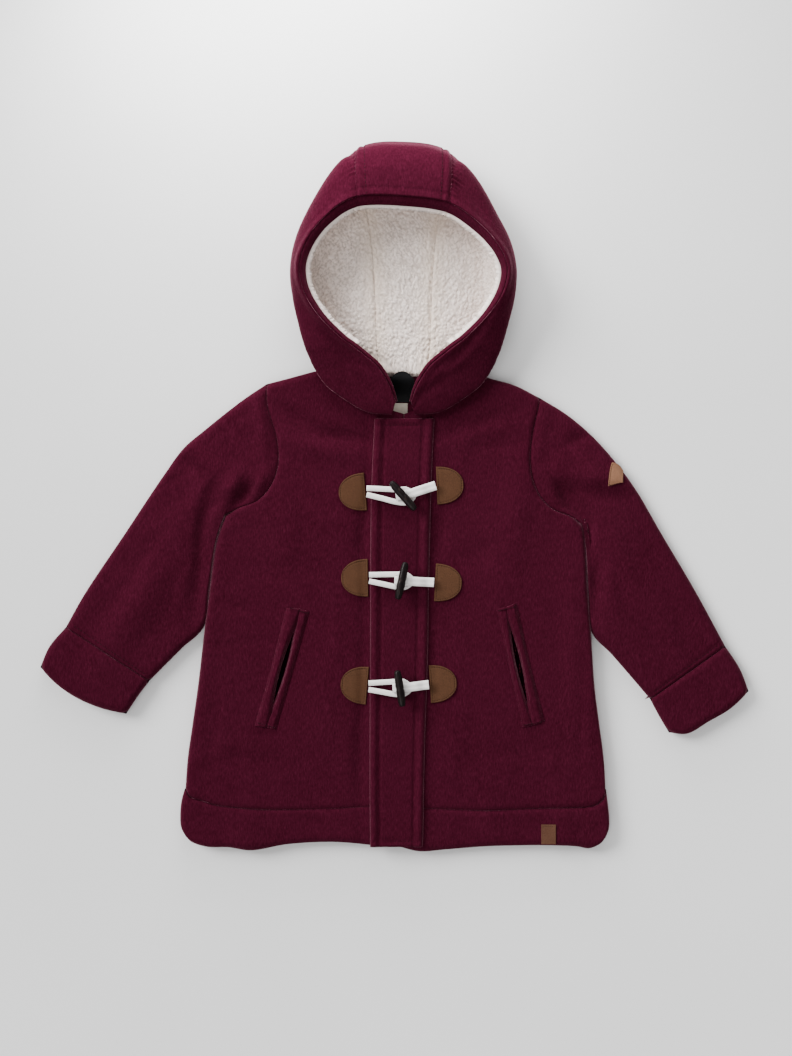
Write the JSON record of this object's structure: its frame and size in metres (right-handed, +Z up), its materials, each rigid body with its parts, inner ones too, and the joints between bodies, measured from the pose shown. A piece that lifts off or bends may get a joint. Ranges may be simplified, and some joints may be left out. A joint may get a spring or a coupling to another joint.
{
  "type": "duffle coat",
  "caption": "Toddler's hooded duffle coat, fastened with toggles and laid flat on its back, with a pile-lined hood open upwards.",
  "frame": {"origin": "middle of the bounding box at its underside, on the table under the chest", "axes": "+X to the right and +Y towards the hood, as seen from above with the front of the coat up; +Z up off the table"},
  "size_m": [0.7422, 0.7398, 0.0612],
  "materials": {
    "wool": "brushed wool, matt, short nap",
    "sherpa": "curly sherpa pile, matt",
    "brown_leather": "brushed leather-like cloth, matt",
    "tan_leather": "brushed leather-like cloth, matt",
    "cotton": "woven cotton, matt",
    "horn": "polished imitation horn, glossy",
    "black_tape": "woven tape, satin"
  },
  "bodies": {
    "root": {"back": "wool", "hem_back": "wool", "front_left": "wool", "front_right": "wool", "hem_left": "wool", "hem_right": "wool", "sleeve_left": "wool", "sleeve_right": "wool", "cuff_left": "wool", "cuff_right": "wool", "placket": "wool", "welt_left": "wool", "welt_right": "wool", "hood_left": "wool", "hood_middle": "wool", "hood_right": "wool", "hood_band": "wool", "lining_left": "sherpa", "lining_middle": "sherpa", "lining_right": "sherpa", "patch_top_left": "brown_leather", "patch_top_right": "brown_leather", "patch_middle_left": "brown_leather", "patch_middle_right": "brown_leather", "patch_bottom_left": "brown_leather", "patch_bottom_right": "brown_leather", "sleeve_patch": "tan_leather", "hem_label": "tan_leather", "loop_top": "cotton", "loop_middle": "cotton", "loop_bottom": "cotton", "stem_top": "cotton", "stem_middle": "cotton", "stem_bottom": "cotton", "size_tag": "cotton", "toggle_top": "horn", "toggle_middle": "horn", "toggle_bottom": "horn", "neck_label": "black_tape"}
  },
  "joints": []
}
